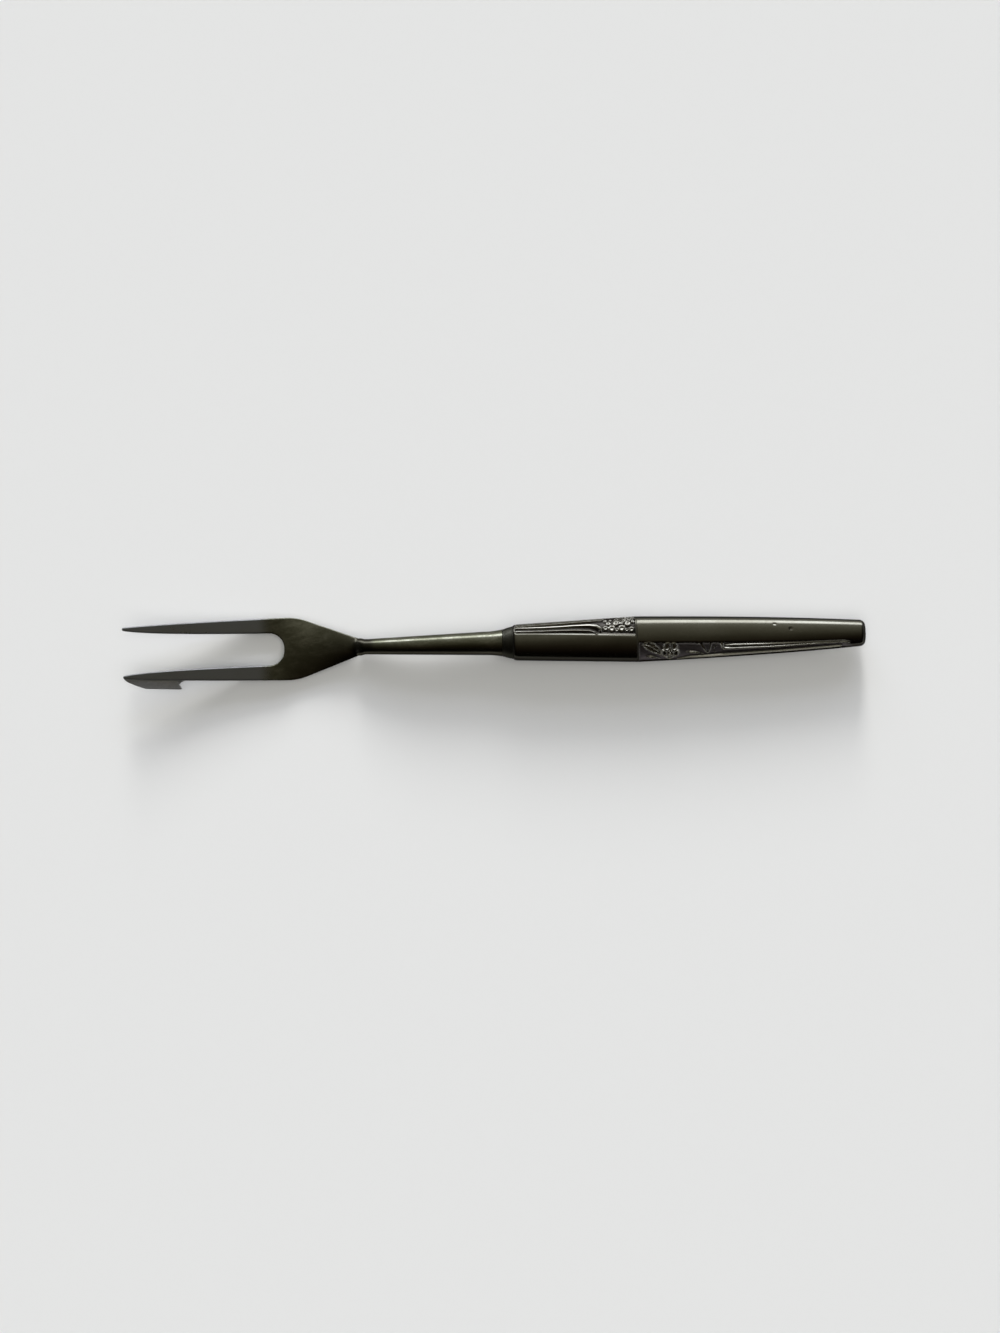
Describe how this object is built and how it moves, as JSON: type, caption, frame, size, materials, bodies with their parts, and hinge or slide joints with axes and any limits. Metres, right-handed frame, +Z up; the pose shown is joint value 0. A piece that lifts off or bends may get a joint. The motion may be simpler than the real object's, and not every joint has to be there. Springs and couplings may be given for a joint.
{
  "type": "cold meat fork",
  "caption": "Small serving fork: a flat two-tined head with a hooked barb, a round shank and a hollow struck handle with floral and reeded panels.",
  "frame": {"origin": "centre of the bounding box, on the plane that the fork lies on; the long axis of handle and shank is 0.7 mm toward +Y from it, because the barb widens one side", "axes": "+X from the tips to the butt, +Y away from the barb, +Z up from the table"},
  "size_m": [0.17, 0.0158, 0.0063],
  "materials": {
    "head_steel": "darkened steel, worn, with fine lengthwise marks",
    "collar_steel": "darkened steel, duller than the shank",
    "shell_steel": "darkened steel, polished on the plain bands, with dark patina in the struck ground",
    "core_resin": "cast filler, rough"
  },
  "bodies": {
    "root": {"fork_head": "head_steel", "handle_collar": "collar_steel", "handle_upper_shell": "shell_steel", "handle_lower_shell": "shell_steel", "handle_core": "core_resin"}
  },
  "joints": []
}
